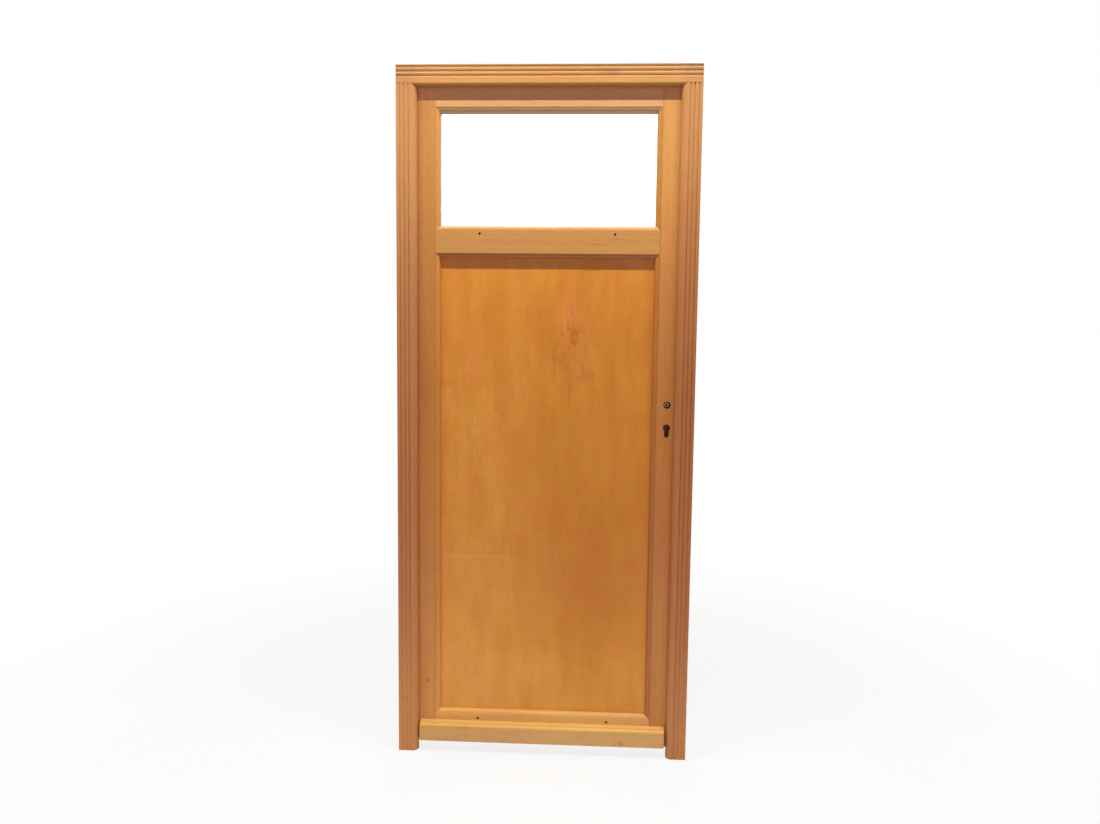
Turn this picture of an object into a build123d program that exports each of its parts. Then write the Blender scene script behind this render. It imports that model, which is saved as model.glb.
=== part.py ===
from build123d import *
from math import sqrt
import os

# Service door in its rebated frame, all sizes in millimetres.
# X runs from the hinge post to the lock post, Y from the outer face to the inner face, Z up.
# The origin is on the outer side of the hinge post, at floor level, halfway through the frame.

# Frame
frame_width = 900
frame_height = 2100
post_face = 60
head_face = 58
post_first_groove = 10
head_first_groove = 6
reed_pitch = 13
reed_depth = 3.2
groove_count = 3
band_ease = 5
post_round = 19
head_round = 6

# Leaf and its place in the frame
reveal_depth = 28
leaf_thickness = 42
leaf_overlap = 15
hinge_gap = 5
lock_gap = 7
top_gap = 5
stop_gap = 5
floor_gap = 27

# Stiles and rails, up to the line where the moulding starts
stile_flat = 68
top_rail_flat = 71
mid_rail_flat = 70
light_height = 359
bottom_rail_flat = 86
tenon_length = 34
tenon_thickness = 13
tenon_shoulder = 12
tenon_clearance = 0.2

# Ovolo moulding worked on the stiles and rails
moulding_width = 13
moulding_depth = 18
quirk_depth = 1.5
quirk_width = 1

# Infills and the beads that hold them
pane_thickness = 6
panel_thickness = 12
infill_clearance = 2
bead_round = 4

# Drain holes, drilled upwards into the rebates
drain_radius = 3
drain_drop = 12
drain_spacing = 407
drain_slope = 25
drain_length = 46

# Weatherboard
board_projection = 24
board_lift = 6
board_height = 60
board_slope = 4
board_ledge = 13
board_quirk = 2
board_nose = 9
board_hinge_gap = 5
board_lock_gap = 7
drip_width = 5
drip_depth = 3
drip_setback = 6

# Lift-off hinges
lower_hinge_rise = 253
upper_hinge_drop = 237
knuckle_radius = 8
knuckle_length = 68
knuckle_standoff = 1
knuckle_chamfer = 2
pin_radius = 5
pin_rise = 42
pin_clearance = 0.05
bore_extra = 3
washer_thickness = 1.5
washer_play = 0.2
wing_depth = 30
wing_thickness = 3

# Mortise lock
backset = 35
spindle_level = 1106
cylinder_drop = 70
case_depth = 58
case_thickness = 15
case_above = 55
case_below = 46
case_clearance = 0.3
lock_cover = 8
forend_height = 240
forend_width = 22
forend_thickness = 3
follower_radius = 8
follower_square = 8
follower_proud = 1.5
follower_clearance = 0.05
spindle_hole_radius = 10.5
cylinder_head_radius = 8.75
cylinder_slot_width = 10.5
cylinder_reach = 24.5
keyhole_margin = 2
keyhole_foot = 5
bolt_thickness = 11
bolt_length = 24
bolt_clearance = 0.2
latch_height = 30
latch_rise = 28
latch_bevel = 9
dead_bolt_height = 30
dead_bolt_rise = 27

# Strike plate
strike_height = 190
strike_width = 24
strike_thickness = 2.5
strike_play = 1.5
strike_pocket = 22

# Planes and lines worked out from the sizes above
frame_depth = reveal_depth + leaf_thickness
front_y = -frame_depth / 2
back_y = frame_depth / 2
stop_depth = reveal_depth - stop_gap
leaf_front = front_y + reveal_depth
leaf_back = leaf_front + leaf_thickness
leaf_left = post_face - leaf_overlap
leaf_right = frame_width - post_face + leaf_overlap
leaf_bottom = floor_gap
soffit = frame_height - head_face
leaf_top = soffit + leaf_overlap
hinge_rebate_x = leaf_left - hinge_gap
lock_rebate_x = leaf_right + lock_gap
seat_y = leaf_front + moulding_depth
left_line = leaf_left + stile_flat
right_line = leaf_right - stile_flat
top_line = leaf_top - top_rail_flat
mid_upper_line = top_line - light_height
mid_lower_line = mid_upper_line - mid_rail_flat
bottom_line = leaf_bottom + bottom_rail_flat
lower_hinge_level = leaf_bottom + lower_hinge_rise
upper_hinge_level = leaf_top - upper_hinge_drop
hinge_levels = (lower_hinge_level, (lower_hinge_level + upper_hinge_level) / 2, upper_hinge_level)
axis_x = leaf_left - hinge_gap / 2
axis_y = leaf_back + knuckle_radius + knuckle_standoff
lock_y = (leaf_front + leaf_back) / 2
spindle_x = leaf_right - backset
cylinder_level = spindle_level - cylinder_drop
lock_bore_end = leaf_back - lock_cover
case_right = leaf_right - forend_thickness
latch_level = spindle_level + latch_rise
dead_bolt_level = cylinder_level + dead_bolt_rise
forend_level = (spindle_level + cylinder_level) / 2


def block(x_range, y_range, z_range):
    # A plain block between three pairs of limits.
    size = [high - low for low, high in (x_range, y_range, z_range)]
    centre = [(low + high) / 2 for low, high in (x_range, y_range, z_range)]
    return Pos(*centre) * Box(*size)


def front_prism(points, y_from, y_to):
    # An outline drawn as seen from outside, (x, z), carried through the thickness.
    plane = Plane(origin=(0, y_to, 0), x_dir=(1, 0, 0), z_dir=(0, -1, 0))
    return extrude(plane * make_face(Polyline(*points, close=True)), amount=y_to - y_from)


def reed(left, right):
    # One convex reed between two grooves, its crown on the front plane.
    return ThreePointArc((left, reed_depth), ((left + right) / 2, 0), (right, reed_depth))


def frame_section(face, first_groove, edge_round, rebate):
    # Section of a frame member: reeds from the outer edge, a plain band, the rounded inner
    # edge, the stop and the rebate that takes the leaf. Width first, then depth.
    half = reed_pitch / 2
    radius = (half**2 + reed_depth**2) / (2 * reed_depth)
    crown = first_groove - half
    outer_depth = radius - sqrt(radius**2 - crown**2)
    near = (first_groove + max(crown, 0)) / 2
    near_depth = radius - sqrt(radius**2 - (near - crown) ** 2)
    outline = ThreePointArc((0, outer_depth), (near, near_depth), (first_groove, reed_depth))
    for index in range(groove_count - 1):
        groove = first_groove + index * reed_pitch
        outline += reed(groove, groove + reed_pitch)
    last_groove = first_groove + (groove_count - 1) * reed_pitch
    rise = (band_ease**2 + reed_depth**2) / (2 * reed_depth)
    ease_middle = (last_groove + band_ease / 2, rise - sqrt(rise**2 - (band_ease / 2) ** 2))
    band_start = (last_groove + band_ease, 0)
    outline += ThreePointArc((last_groove, reed_depth), ease_middle, band_start)
    inner_round = min(edge_round, face - band_start[0], stop_depth)
    round_start = (face - inner_round, 0)
    if round_start[0] > band_start[0]:
        outline += Line(band_start, round_start)
    slant = inner_round * sqrt(0.5)
    round_middle = (face - inner_round + slant, inner_round - slant)
    outline += ThreePointArc(round_start, round_middle, (face, inner_round))
    corners = [(face, inner_round), (face, stop_depth)]
    if rebate > 0:
        corners += [(face - rebate, stop_depth), (face - rebate, frame_depth)]
    else:
        corners += [(face, frame_depth)]
    corners += [(0, frame_depth), (0, outer_depth)]
    return make_face(outline + Polyline(*corners))


def frame_head():
    # The head lies over both posts. Its rebate stops against them.
    section = frame_section(head_face, head_first_groove, head_round, 0)
    plane = Plane(origin=(0, front_y, frame_height), x_dir=(0, 0, -1), z_dir=(1, 0, 0))
    member = extrude(plane * section, amount=frame_width)
    rebate = block(
        (hinge_rebate_x, lock_rebate_x),
        (front_y + stop_depth, back_y),
        (soffit, leaf_top + top_gap),
    )
    return member - rebate


def post_blank(rebate):
    # A post as it leaves the moulder, long enough to be scribed over the head's rounded edge.
    section = frame_section(post_face, post_first_groove, post_round, rebate)
    return extrude(Pos(0, front_y) * section, amount=soffit + head_round)


def hinge_post(head):
    # The hinge post, scribed to the head, with a recess for each frame wing.
    post = post_blank(leaf_overlap + hinge_gap) - head
    for level in hinge_levels:
        post -= frame_wing(level)
    return post


def lock_post(head):
    # The lock post with the strike plate's recess and the two bolt pockets behind it.
    post = Pos(frame_width) * mirror(post_blank(leaf_overlap + lock_gap), about=Plane.YZ) - head
    post -= strike_blank()
    for window in bolt_windows(lock_rebate_x, lock_rebate_x + strike_pocket):
        post -= window
    return post


def frame_wing(level):
    # Wing of the frame half of a hinge, let into the face of the rebate.
    return block(
        (hinge_rebate_x - wing_thickness, hinge_rebate_x),
        (leaf_back - wing_depth, axis_y),
        (level - knuckle_length, level),
    )


def leaf_wing(level):
    # Wing of the leaf half of a hinge, let into the edge of the stile.
    start = level + washer_thickness + washer_play
    return block(
        (leaf_left, leaf_left + wing_thickness),
        (leaf_back - wing_depth, axis_y),
        (start, start + knuckle_length),
    )


def knuckle(start, free_end):
    # Barrel of a hinge half, chamfered at the end that is away from the other half.
    barrel = Pos(axis_x, axis_y, start + knuckle_length / 2) * Cylinder(knuckle_radius, knuckle_length)
    ends = barrel.edges().filter_by(GeomType.CIRCLE).sort_by(Axis.Z)
    return chamfer(ends[free_end], knuckle_chamfer)


def frame_hinge(level):
    # Lower half with the fixed pin that the leaf half drops onto.
    pin_length = knuckle_length / 2 + pin_rise
    pin = Pos(axis_x, axis_y, level + pin_rise - pin_length / 2) * Cylinder(pin_radius, pin_length)
    tip = pin.edges().filter_by(GeomType.CIRCLE).sort_by(Axis.Z)[-1]
    return knuckle(level - knuckle_length, 0) + frame_wing(level) + chamfer(tip, pin_radius / 4)


def leaf_hinge(level):
    # Upper half, bored blind for the pin.
    start = level + washer_thickness + washer_play
    bore_depth = pin_rise - (start - level) + bore_extra
    bore = Pos(axis_x, axis_y, start + bore_depth / 2) * Cylinder(pin_radius + pin_clearance, bore_depth)
    return knuckle(start, -1) + leaf_wing(level) - bore


def hinge_washers():
    # A ring on each pin, between the two halves of the hinge.
    ring = Cylinder(knuckle_radius, washer_thickness) - Cylinder(pin_radius + pin_clearance, washer_thickness)
    return Compound([Pos(axis_x, axis_y, level + washer_thickness / 2) * ring for level in hinge_levels])


def stuck_edge():
    # Half section of a moulded member from the moulding line to the opening: a quirk, the
    # quarter-round and the straight drop to the seat. Distance towards the opening first, then depth.
    radius = moulding_width - quirk_width
    slant = radius * sqrt(0.5)
    start = (quirk_width, quirk_depth)
    middle = (quirk_width + slant, quirk_depth + radius - slant)
    end = (moulding_width, quirk_depth + radius)
    outline = ThreePointArc(start, middle, end)
    outline += Polyline(end, (moulding_width, moulding_depth), (0, moulding_depth), (0, quirk_depth), start)
    return make_face(outline)


def stile(mirrored):
    # Plain bar and moulding, cut back to the moulding line with mitres where the rails meet it.
    bar = block((leaf_left, left_line), (leaf_front, leaf_back), (leaf_bottom, leaf_top))
    edge = extrude(Pos(left_line, leaf_front, leaf_bottom) * stuck_edge(), amount=leaf_top - leaf_bottom)
    inner = left_line + moulding_width
    for low, high in rail_spans():
        mitre = [
            (left_line, low),
            (inner, low - moulding_width),
            (inner, high + moulding_width),
            (left_line, high),
        ]
        edge -= front_prism(mitre, leaf_front, seat_y)
        bar -= tenon(low, high, tenon_clearance)
    member = bar + edge
    if mirrored:
        return Pos(leaf_left + leaf_right) * mirror(member, about=Plane.YZ)
    return member


def rail_spans():
    # Lower and upper moulding lines of each rail; the outer rails end at the leaf's own edges.
    beyond = moulding_width
    return (
        (leaf_bottom - beyond, bottom_line),
        (mid_lower_line, mid_upper_line),
        (top_line, leaf_top + beyond),
    )


def tenon(low, high, clearance):
    # The tenon on the hinge end of a rail, or its mortise when a clearance is given.
    bottom = max(low, leaf_bottom) + tenon_shoulder
    top = min(high, leaf_top) - tenon_shoulder
    return block(
        (left_line - tenon_length - clearance, left_line),
        (lock_y - tenon_thickness / 2 - clearance, lock_y + tenon_thickness / 2 + clearance),
        (bottom - clearance, top + clearance),
    )


def rail(low, high):
    # Bar between the stiles with a tenon at each end and mitred mouldings on the edges facing an opening.
    bottom = max(low, leaf_bottom)
    top = min(high, leaf_top)
    member = block((left_line, right_line), (leaf_front, leaf_back), (bottom, top))
    hinge_tenon = tenon(low, high, 0)
    member += hinge_tenon
    member += Pos(leaf_left + leaf_right) * mirror(hinge_tenon, about=Plane.YZ)
    for line, outward in ((low, -1), (high, 1)):
        if leaf_bottom < line < leaf_top:
            member += rail_moulding(line, outward)
    return member


def rail_moulding(line, outward):
    # The moulding along one edge of a rail, its ends cut to the mitres of the stiles.
    plane = Plane(origin=(left_line, leaf_front, line), x_dir=(0, 0, outward), z_dir=(-outward, 0, 0))
    length = right_line - left_line
    strip = extrude(plane * stuck_edge(), amount=-outward * length)
    tip = line + outward * moulding_width
    mitred = [
        (left_line, line),
        (left_line + moulding_width, tip),
        (right_line - moulding_width, tip),
        (right_line, line),
    ]
    return strip & front_prism(mitred, leaf_front, seat_y)


def drain_holes(line):
    # A pair of holes that rise from the face of a rail into the rebate above it.
    middle = (leaf_left + leaf_right) / 2
    holes = []
    for side in (-1, 1):
        place = (middle + side * drain_spacing / 2, leaf_front, line - drain_drop)
        drill = Cylinder(drain_radius, drain_length, align=(Align.CENTER, Align.CENTER, Align.MIN))
        lead_in = Pos(0, 0, -drain_radius)
        holes.append(Pos(*place) * Rot(-90 + drain_slope, 0, 0) * lead_in * drill)
    return holes


def drained_rail(low, high):
    # A rail whose upper edge carries an infill, with its drain holes.
    member = rail(low, high)
    for hole in drain_holes(high):
        member -= hole
    return member


def hinge_stile():
    # The hinge stile with a recess for each leaf wing.
    member = stile(False)
    for level in hinge_levels:
        member -= leaf_wing(level)
    return member


def lock_stile():
    # The lock stile, mortised for the lock and bored from outside for the spindle and the cylinder.
    # The wood that covers the lock on the inner side is left whole.
    member = stile(True) - forend_blank()
    member -= lock_body(case_clearance)
    member -= across(Pos(spindle_x, spindle_level) * Circle(spindle_hole_radius), leaf_front, lock_bore_end)
    foot = cylinder_reach + keyhole_foot
    keyhole = cylinder_outline(cylinder_head_radius + keyhole_margin, cylinder_slot_width / 2 + keyhole_margin, foot)
    return member - across(keyhole, leaf_front, lock_bore_end)


def across(sketch, y_from, y_to):
    # A sketch drawn as seen from outside, carried straight back from one depth to another.
    plane = Plane(origin=(0, y_to, 0), x_dir=(1, 0, 0), z_dir=(0, -1, 0))
    return extrude(plane * sketch, amount=y_to - y_from)


def cylinder_outline(head_radius, half_slot, reach):
    # Keyhole outline of a profile cylinder: a round head and a slot with a rounded foot.
    slot = Pos(spindle_x, cylinder_level - (reach - half_slot) / 2) * Rectangle(2 * half_slot, reach - half_slot)
    foot = Pos(spindle_x, cylinder_level - reach + half_slot) * Circle(half_slot)
    return Pos(spindle_x, cylinder_level) * Circle(head_radius) + slot + foot


def forend_blank():
    # The lock's face plate, let into the edge of the lock stile.
    half_height = forend_height / 2
    return block(
        (case_right, leaf_right),
        (lock_y - forend_width / 2, lock_y + forend_width / 2),
        (forend_level - half_height, forend_level + half_height),
    )


def lock_body(clearance):
    # Outside of the lock case, or the mortise for it when a clearance is given.
    half = case_thickness / 2 + clearance
    return block(
        (case_right - case_depth - clearance, case_right),
        (lock_y - half, lock_y + half),
        (cylinder_level - case_below - clearance, spindle_level + case_above + clearance),
    )


def bolt_windows(x_from, x_to, play=strike_play):
    # The openings for the latch and the dead bolt.
    half = bolt_thickness / 2 + play
    windows = []
    for level, height in ((latch_level, latch_height), (dead_bolt_level, dead_bolt_height)):
        z_range = (level - height / 2 - play, level + height / 2 + play)
        windows.append(block((x_from, x_to), (lock_y - half, lock_y + half), z_range))
    return windows


def lock_forend():
    # Face plate with its two windows.
    plate = forend_blank()
    for window in bolt_windows(case_right, leaf_right, bolt_clearance):
        plate -= window
    return plate


def lock_case():
    # Case with the follower's bore, the cylinder's passage and the channels of the two bolts.
    case = lock_body(0)
    y_range = (lock_y - case_thickness / 2, lock_y + case_thickness / 2)
    bore = Circle(follower_radius + follower_clearance)
    case -= across(Pos(spindle_x, spindle_level) * bore, *y_range)
    case -= across(cylinder_outline(cylinder_head_radius, cylinder_slot_width / 2, cylinder_reach), *y_range)
    channel_start = leaf_right - bolt_length - bolt_clearance
    for channel in bolt_windows(channel_start, case_right, bolt_clearance):
        case -= channel
    return case


def bolt_bar(level, height):
    # A bolt drawn back until its end is flush with the face plate.
    half = bolt_thickness / 2
    x_range = (leaf_right - bolt_length, leaf_right)
    return block(x_range, (lock_y - half, lock_y + half), (level - height / 2, level + height / 2))


def latch_bolt():
    # The latch has a sloped nose that meets the strike plate as the leaf closes.
    front = lock_y - bolt_thickness / 2
    back = lock_y + bolt_thickness / 2
    nose = Polyline(
        (leaf_right, front),
        (leaf_right, back),
        (leaf_right - latch_bevel, front),
        close=True,
    )
    bottom = latch_level - latch_height / 2
    return bolt_bar(latch_level, latch_height) - extrude(Pos(0, 0, bottom) * make_face(nose), amount=latch_height)


def lock_follower():
    # Round hub with the square hole for the handle's spindle.
    hub = Circle(follower_radius) - Rectangle(follower_square, follower_square)
    reach = case_thickness / 2 + follower_proud
    return across(Pos(spindle_x, spindle_level) * hub, lock_y - reach, lock_y + reach)


def strike_blank():
    # The strike plate's outline, let into the face of the rebate.
    return block(
        (lock_rebate_x, lock_rebate_x + strike_thickness),
        (lock_y - strike_width / 2, lock_y + strike_width / 2),
        (forend_level - strike_height / 2, forend_level + strike_height / 2),
    )


def strike_plate():
    # Plate with a window for each bolt.
    plate = strike_blank()
    for window in bolt_windows(lock_rebate_x, lock_rebate_x + strike_thickness):
        plate -= window
    return plate


def infill(low, high, thickness):
    # A sheet lying against the seat of the mouldings, clear of the rebate all round.
    return block(
        (left_line + infill_clearance, right_line - infill_clearance),
        (seat_y, seat_y + thickness),
        (low + infill_clearance, high - infill_clearance),
    )


def bead(corners, thickness):
    # A mitred bead from the back of the infill to the inner face of the leaf, rounded towards
    # the opening. The first two corners lie in the rebate and the last two at the opening.
    strip = front_prism(corners, seat_y + thickness, leaf_back)
    x = (corners[2][0] + corners[3][0]) / 2
    z = (corners[2][1] + corners[3][1]) / 2
    arris = strip.edges().sort_by_distance(Vector(x, leaf_back, z))[0]
    return fillet(arris, bead_round)


def beads(prefix, low, high, thickness):
    # The four beads round one opening.
    width = moulding_width
    outer = [(left_line, low), (right_line, low), (right_line, high), (left_line, high)]
    inner = [
        (left_line + width, low + width),
        (right_line - width, low + width),
        (right_line - width, high - width),
        (left_line + width, high - width),
    ]
    pieces = {}
    for index, side in enumerate(("bottom", "lock_side", "top", "hinge_side")):
        after = (index + 1) % 4
        corners = [outer[index], outer[after], inner[after], inner[index]]
        pieces[f"{prefix}_{side}"] = bead(corners, thickness)
    return pieces


def weatherboard():
    # Moulded board over the foot of the leaf: sloped top, ledge, rounded nose and drip groove.
    # Projection first, then height above its lower edge.
    ledge_height = board_height - board_slope - board_quirk
    nose_centre = (board_projection - board_nose, ledge_height - board_nose)
    slant = board_nose * sqrt(0.5)
    nose_middle = (nose_centre[0] + slant, nose_centre[1] + slant)
    nose_start = (nose_centre[0], ledge_height)
    nose_end = (board_projection, nose_centre[1])
    drip_front = board_projection - drip_setback
    drip_back = drip_front - drip_width
    outline = ThreePointArc(nose_start, nose_middle, nose_end)
    outline += Polyline(
        nose_end,
        (board_projection, 0),
        (drip_front, 0),
        (drip_front, drip_depth),
        (drip_back, drip_depth),
        (drip_back, 0),
        (0, 0),
        (0, board_height),
        (board_ledge, board_height - board_slope),
        (board_ledge, ledge_height),
        nose_start,
    )
    left = post_face + board_hinge_gap
    right = frame_width - post_face - board_lock_gap
    bottom = leaf_bottom + board_lift
    plane = Plane(origin=(left, leaf_front, bottom), x_dir=(0, -1, 0), z_dir=(-1, 0, 0))
    return extrude(plane * make_face(outline), amount=-(right - left))


def all_pieces():
    # Every piece of the door set under its node name.
    head = frame_head()
    bottom_span, mid_span, top_span = rail_spans()
    pieces = {
        "hinge_post": hinge_post(head),
        "lock_post": lock_post(head),
        "frame_head": head,
        "strike_plate": strike_plate(),
        "hinge_washers": hinge_washers(),
        "hinge_stile": hinge_stile(),
        "lock_stile": lock_stile(),
        "top_rail": rail(*top_span),
        "mid_rail": drained_rail(*mid_span),
        "bottom_rail": drained_rail(*bottom_span),
        "weatherboard": weatherboard(),
        "light_pane": infill(mid_upper_line, top_line, pane_thickness),
        "lower_panel": infill(bottom_line, mid_lower_line, panel_thickness),
        "lock_forend": lock_forend(),
        "lock_case": lock_case(),
        "latch_bolt": latch_bolt(),
        "dead_bolt": bolt_bar(dead_bolt_level, dead_bolt_height),
        "lock_follower": lock_follower(),
    }
    pieces.update(beads("light_bead", mid_upper_line, top_line, pane_thickness))
    pieces.update(beads("panel_bead", bottom_line, mid_lower_line, panel_thickness))
    for name, level in zip(("lower", "middle", "upper"), hinge_levels):
        pieces[f"{name}_hinge_frame_half"] = frame_hinge(level)
        pieces[f"{name}_hinge_leaf_half"] = leaf_hinge(level)
    return pieces


os.makedirs("parts", exist_ok=True)
for node, shape in all_pieces().items():
    export_step(shape, f"parts/{node}.step")
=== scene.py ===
import math
import bpy
import numpy as np
from mathutils import Matrix, Vector


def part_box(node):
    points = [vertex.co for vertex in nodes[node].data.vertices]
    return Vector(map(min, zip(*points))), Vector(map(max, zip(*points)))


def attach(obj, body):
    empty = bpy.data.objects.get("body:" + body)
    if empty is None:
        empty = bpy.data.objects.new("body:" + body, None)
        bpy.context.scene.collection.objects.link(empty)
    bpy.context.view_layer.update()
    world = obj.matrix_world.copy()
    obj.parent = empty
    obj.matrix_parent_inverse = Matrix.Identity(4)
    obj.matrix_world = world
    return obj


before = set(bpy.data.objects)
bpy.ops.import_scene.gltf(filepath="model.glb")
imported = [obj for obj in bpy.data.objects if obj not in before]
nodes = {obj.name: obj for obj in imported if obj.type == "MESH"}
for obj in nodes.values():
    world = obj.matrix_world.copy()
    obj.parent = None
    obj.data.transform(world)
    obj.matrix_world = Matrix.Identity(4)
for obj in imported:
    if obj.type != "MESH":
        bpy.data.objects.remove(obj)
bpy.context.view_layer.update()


# camera at the photograph's place, metres in the frame of the door
cameraView = {
    "place": (0.5851, -2.5175, 1.3067),
    "forward": (-0.04759, 0.99481, -0.08997),
    "up": (-0.01591, 0.08931, 0.99588),
    "lens": 27.03,
    "sensor": 36.0,
}


def addCamera():
    back = -Vector(cameraView["forward"]).normalized()
    right = Vector(cameraView["up"]).cross(back).normalized()
    up = back.cross(right)
    data = bpy.data.cameras.new("camera")
    data.lens = cameraView["lens"]
    data.sensor_width = cameraView["sensor"]
    camera = bpy.data.objects.new("camera", data)
    bpy.context.scene.collection.objects.link(camera)
    turn = Matrix((right, up, back)).transposed().to_4x4()
    camera.matrix_world = Matrix.Translation(cameraView["place"]) @ turn
    bpy.context.scene.camera = camera


addCamera()
bpy.context.scene.view_settings.view_transform = "Standard"
print("camera: lens", cameraView["lens"])


def paint(red, green, blue):
    # screen numbers, 0 to 255, as the linear colour that a shader takes
    part = np.array([red, green, blue]) / 255
    part = np.where(part <= 0.04045, part / 12.92, ((part + 0.055) / 1.055) ** 2.4)
    return (*part.tolist(), 1.0)


class Wire:
    # a socket that can stand in sums: every operator adds one Math node
    def __init__(self, shade, socket):
        self.shade = shade
        self.socket = socket

    def calc(self, operation, *values):
        return self.shade.node("ShaderNodeMath", {"operation": operation}, dict(enumerate(values)))

    def __add__(self, other):
        return self.calc("ADD", self, other)

    def __radd__(self, other):
        return self.calc("ADD", other, self)

    def __sub__(self, other):
        return self.calc("SUBTRACT", self, other)

    def __rsub__(self, other):
        return self.calc("SUBTRACT", other, self)

    def __mul__(self, other):
        return self.calc("MULTIPLY", self, other)

    def __rmul__(self, other):
        return self.calc("MULTIPLY", other, self)

    def __truediv__(self, other):
        return self.calc("DIVIDE", self, other)

    def __rtruediv__(self, other):
        return self.calc("DIVIDE", other, self)

    def __pow__(self, other):
        return self.calc("POWER", self, other)

    def fract(self):
        return self.calc("FRACT", self)

    def exp(self):
        return self.calc("EXPONENT", self)

    def about(self):
        # a noise, 0 to 1, as a swing either way of nought
        return self - 0.5

    def fade(self, low, high):
        # 0 below low, 1 above high, an S-curve between them
        span = {"Value": self, "From Min": low, "From Max": high}
        return self.shade.node("ShaderNodeMapRange", {"interpolation_type": "SMOOTHSTEP"}, span)

    def ramp(self, start, full):
        # the same S-curve from start to full, whichever of the two is larger
        return ((self - start) / (full - start)).fade(0.0, 1.0)


def distance(first, second):
    # from a point that is this far off both ways
    return (first * first + second * second) ** 0.5


def bell(first, second, steep=1.0):
    # 1 at the point, falling off to all sides: e to minus the distance squared
    return ((first * first + second * second) * -steep).exp()


def hill(across, up, centre, size):
    # a bell at a place of the panel, with its own size across and up
    return bell((across - centre[0]) / size[0], (up - centre[1]) / size[1])


softSamples = 4
wornSpan = (0.01, 0.12)  # how far a normal has to turn before its edge counts as worn


class Shade:
    # a node tree under construction
    def __init__(self, tree):
        self.tree = tree
        tree.nodes.clear()

    def node(self, kind, settings=None, sockets=None, out=0):
        made = self.tree.nodes.new(kind)
        for key, value in (settings or {}).items():
            setattr(made, key, value)
        for key, value in (sockets or {}).items():
            if isinstance(value, Wire):
                self.tree.links.new(value.socket, made.inputs[key])
            else:
                made.inputs[key].default_value = value
        return Wire(self, made.outputs[out]) if made.outputs else made

    def axes(self):
        # the three Object coordinates, metres
        place = self.node("ShaderNodeTexCoord", out="Object")
        return [self.node("ShaderNodeSeparateXYZ", None, {0: place}, out=axis) for axis in range(3)]

    def vector(self, x, y, z):
        return self.node("ShaderNodeCombineXYZ", None, {0: x, 1: y, 2: z})

    def noise(self, vector, scale, detail, rough):
        values = {"Vector": vector, "Scale": scale, "Detail": detail, "Roughness": rough}
        return self.node("ShaderNodeTexNoise", None, values)

    def mix(self, factor, first, second, blend="MIX"):
        settings = {"data_type": "RGBA", "blend_type": blend}
        return self.node("ShaderNodeMix", settings, {0: factor, 6: first, 7: second}, out=2)

    def tint(self, colour, shares):
        # the colour times three numbers
        return self.mix(1.0, colour, (*shares, 1.0), "MULTIPLY")

    def wash(self, amount, colour, shares):
        # the colour, tinted as far as the amount goes
        return self.mix(amount, colour, self.tint(colour, shares))

    def vary(self, colour, noise, depth):
        # the colour times a number near 1, which the noise moves by half the depth either way
        value = (1 - depth / 2) + noise * depth
        grey = self.node("ShaderNodeCombineColor", None, {0: value, 1: value, 2: value})
        return self.mix(1.0, colour, grey, "MULTIPLY")

    def softNormal(self, radius):
        return self.node("ShaderNodeBevel", {"samples": softSamples}, {"Radius": radius})

    def wornEdge(self, soft):
        # how far the rounded normal leaves the true one, 0 on flats to 1 on arrises
        true = self.node("ShaderNodeNewGeometry", out="Normal")
        both = {0: soft, 1: true}
        close = self.node("ShaderNodeVectorMath", {"operation": "DOT_PRODUCT"}, both, out="Value")
        return (1 - close).fade(*wornSpan)

    def bump(self, height, strength, distance, normal):
        values = {"Height": height, "Strength": strength, "Distance": distance, "Normal": normal}
        return self.node("ShaderNodeBump", None, values)

    def finish(self, sockets):
        surface = self.node("ShaderNodeBsdfPrincipled", None, sockets)
        self.node("ShaderNodeOutputMaterial", None, {"Surface": surface})


def newShade(name):
    material = bpy.data.materials.new(name)
    material.use_nodes = True
    return material, Shade(material.node_tree)


def dress(node, material):
    nodes[node].material_slots[0].material = material


# varnished timber. pale, deep and red are shares of a piece's own tone and mark a share of deep. A span is
# where a noise starts to count and where it counts in full, a depth how much it then does
timberFinish = {
    "pale": (1.07, 1.11, 1.18),
    "deep": (0.66, 0.52, 0.46),
    "red": (0.92, 0.80, 0.88),
    "mark": (0.62, 0.55, 0.5),
    "markEven": 0.5,
    "turn": 0.3,
    "waver": 0.022,
    "ringsPerMetre": 190,
    "ringStreak": 1.3,
    "ringShape": 2.2,
    "ringDepth": 0.22,
    "ringSpan": (0.2, 0.6),
    "streakSpan": (0.28, 0.72),
    "redDepth": 0.5,
    "redSpan": (0.42, 0.72),
    "fibreDepth": 0.14,
    "poreDepth": 0.4,
    "poreSpan": (0.66, 0.74),
    "wearDepth": 0.3,
    "wearSpan": (0.35, 0.6),
    "arris": 0.0011,
    "height": {"fibre": 0.35, "ring": 0.12, "pore": 0.8},
    "bump": (0.2, 0.0004),
    "roughness": 0.36,
    "rougher": {"fibre": 0.12, "pore": 0.15, "wear": 0.1},
    "specular": 0.3,
    "coat": 0.08,
    "coatRoughness": 0.2,
}
# its noises: share of the length along the grain that each one sees, then scale, detail and roughness
timberNoise = {
    "waver": (0.14, 8.0, 2.0, 0.5),
    "streak": (0.022, 55.0, 3.0, 0.55),
    "fibre": (0.022, 520.0, 2.0, 0.6),
    "pore": (0.045, 1050.0, 0.0, 0.5),
    "cloud": (0.4, 5.0, 3.0, 0.55),
}
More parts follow.
